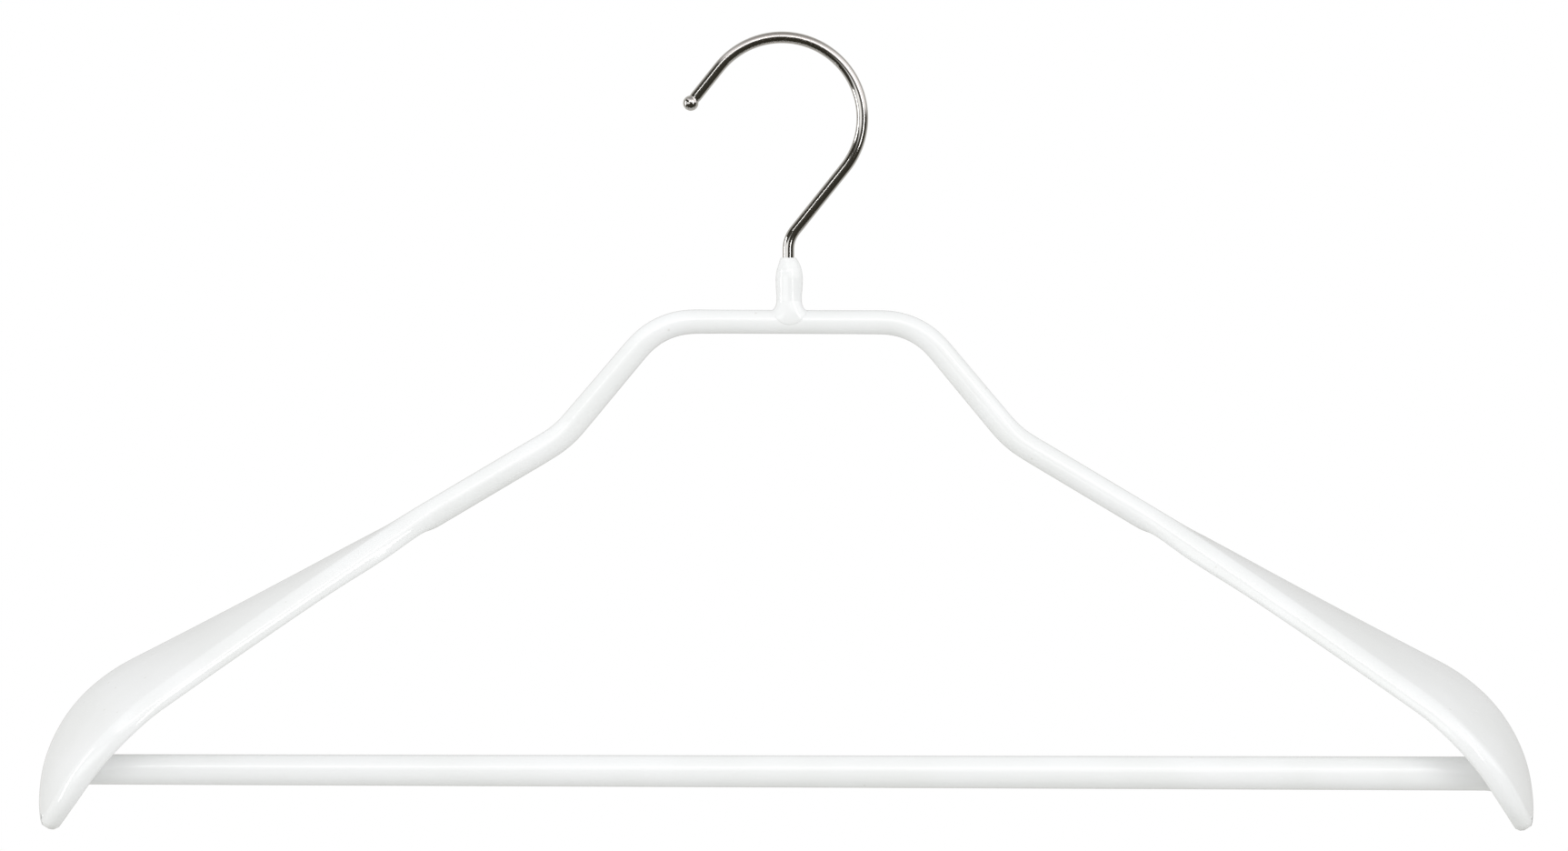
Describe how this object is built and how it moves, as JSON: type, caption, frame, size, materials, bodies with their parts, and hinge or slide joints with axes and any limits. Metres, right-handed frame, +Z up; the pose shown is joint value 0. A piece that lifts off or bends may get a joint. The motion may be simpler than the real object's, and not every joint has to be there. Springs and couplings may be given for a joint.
{
  "type": "clothes hanger",
  "caption": "Contoured clothes hanger: coated round tube arch with wide forward-curving shoulder plates, a straight trouser bar and a plated wire hook that swivels freely in the neck.",
  "frame": {"origin": "inside top of the hook's bend, where the rail bears, on the swivel axis and on the hook's centreline", "axes": "+Z up along the swivel axis, +X along the shoulders to the right as seen from the concave front, -Y towards the front that the shoulders curve to"},
  "size_m": [0.4292, 0.0555, 0.2313],
  "materials": {
    "dipped_pvc": "smooth gloss dip coating, slightly wavy",
    "plated_wire": "bright nickel plating on polished wire",
    "bare_steel": "plain mill steel, hidden under the coating"
  },
  "bodies": {
    "hook": {"hook": "plated_wire"},
    "frame": {"neck_sleeve": "bare_steel", "neck_weld": "bare_steel", "frame_tube": "bare_steel", "shoulder_plate_left": "bare_steel", "shoulder_plate_right": "bare_steel", "shoulder_weld_left": "bare_steel", "shoulder_weld_right": "bare_steel", "trouser_bar": "bare_steel", "bar_weld_left": "bare_steel", "bar_weld_right": "bare_steel", "neck_coating": "dipped_pvc", "tube_coating": "dipped_pvc", "shoulder_coating_left": "dipped_pvc", "shoulder_coating_right": "dipped_pvc", "bar_coating": "dipped_pvc"}
  },
  "joints": [
    {"name": "hook_swivel", "type": "hinge", "parent": "hook", "child": "frame", "pos_m": [0, 0, -0.07], "axis": [0, 0, 1], "continuous": true}
  ]
}
